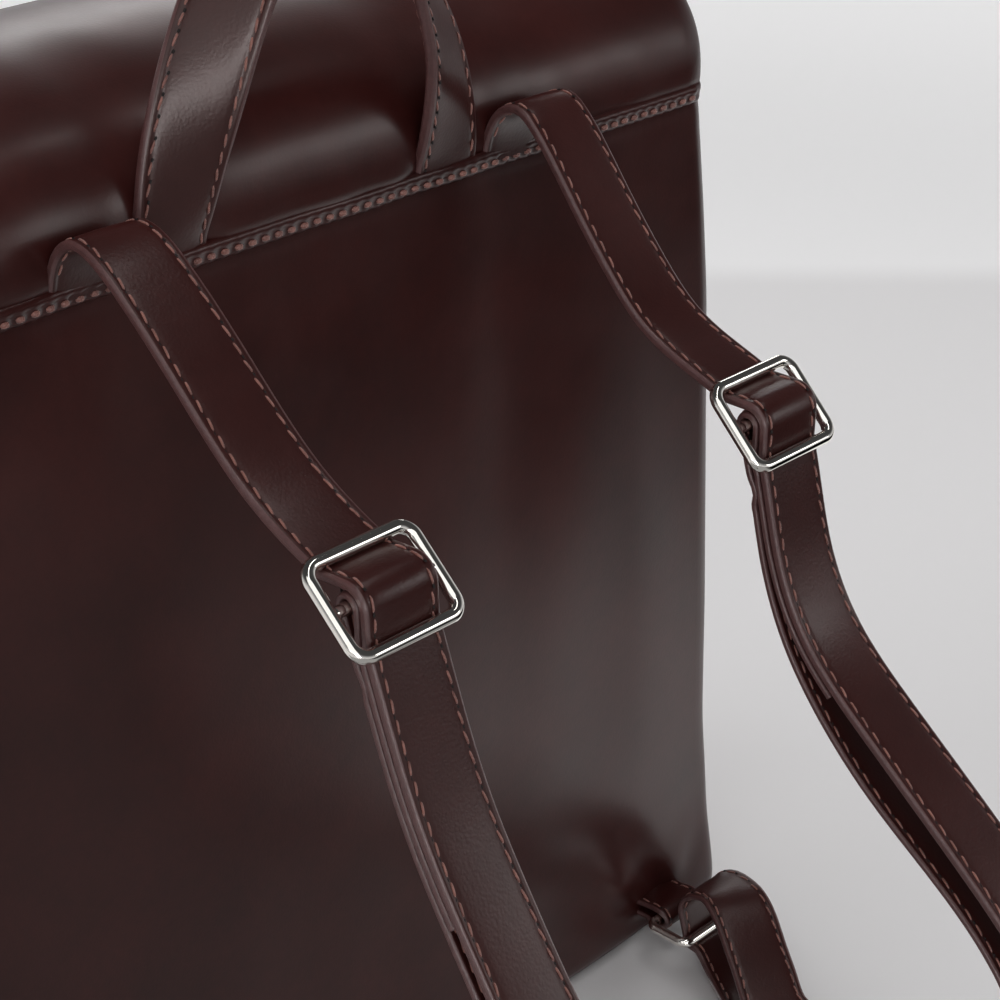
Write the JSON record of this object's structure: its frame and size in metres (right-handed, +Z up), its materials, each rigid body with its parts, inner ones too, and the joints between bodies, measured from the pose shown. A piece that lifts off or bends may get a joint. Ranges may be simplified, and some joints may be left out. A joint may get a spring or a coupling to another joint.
{
  "type": "leather backpack",
  "caption": "Flap-top leather backpack that stands on its base, with a top handle and two adjustable shoulder straps on rings at its lower corners.",
  "frame": {"origin": "centre of the base on the surface the bag stands on", "axes": "+Z up; -Y towards the flap's front; +Y out of the back panel, towards the wearer; +X the wearer's right"},
  "size_m": [0.34, 0.3151, 0.3603],
  "materials": {
    "body_leather": "smooth dark oxblood-brown leather, polished",
    "strap_leather": "dark oxblood-brown strap leather with painted edges and reddish-copper stitching",
    "lining_fabric": "plain woven lining",
    "foam": "thin hidden foam",
    "board": "hidden stiffener board",
    "nickel": "polished nickel",
    "snap_metal": "plain nickel-plated steel"
  },
  "bodies": {
    "bag": {"back_panel": "body_leather", "front_panel": "body_leather", "gusset_right": "body_leather", "gusset_left": "body_leather", "base_panel": "body_leather", "base_board": "board", "back_foam": "foam", "back_board": "board", "lining": "lining_fabric", "seam_welt": "body_leather", "flap_fold": "body_leather", "snap_cup_right": "snap_metal", "snap_cup_left": "snap_metal", "snap_cup_washer_right": "snap_metal", "snap_cup_washer_left": "snap_metal", "ring_tab_right": "body_leather", "ring_tab_left": "body_leather"},
    "flap": {"flap": "body_leather", "flap_foam": "foam", "flap_lining": "lining_fabric", "snap_stud_right": "snap_metal", "snap_stud_left": "snap_metal", "snap_stud_washer_right": "snap_metal", "snap_stud_washer_left": "snap_metal"},
    "handle": {"handle": "strap_leather"},
    "strap_right": {"shoulder_strap_right": "strap_leather", "strap_return_right": "strap_leather", "ring_right": "nickel"},
    "strap_left": {"shoulder_strap_left": "strap_leather", "strap_return_left": "strap_leather", "ring_left": "nickel"},
    "slider_right": {"slider_right": "nickel"},
    "slider_left": {"slider_left": "nickel"}
  },
  "joints": [
    {"name": "flap_open", "type": "hinge", "parent": "bag", "child": "flap", "pos_m": [0, 0.044, 0.30849], "axis": [-1, 0, 0], "range_deg": [0, 80]},
    {"name": "handle_swing", "type": "hinge", "parent": "bag", "child": "handle", "pos_m": [0, 0.0612, 0.2845], "axis": [-1, 0, 0], "range_deg": [0, 95]},
    {"name": "strap_swing_right", "type": "hinge", "parent": "bag", "child": "strap_right", "pos_m": [0.138, 0.062, 0.011], "axis": [-0.2546, -0.0014, 0.9671], "range_deg": [-10, 10]},
    {"name": "slider_slide_right", "type": "slide", "parent": "strap_right", "child": "slider_right", "axis": [0, -0.8541, 0.5201], "range_m": [0, 0.045], "deforming": ["shoulder_strap_right", "strap_return_right"]},
    {"name": "strap_swing_left", "type": "hinge", "parent": "bag", "child": "strap_left", "pos_m": [-0.138, 0.062, 0.011], "axis": [0.2546, -0.0014, 0.9671], "range_deg": [-10, 10]},
    {"name": "slider_slide_left", "type": "slide", "parent": "strap_left", "child": "slider_left", "axis": [0, -0.8571, 0.5151], "range_m": [0, 0.045], "deforming": ["shoulder_strap_left", "strap_return_left"]}
  ]
}
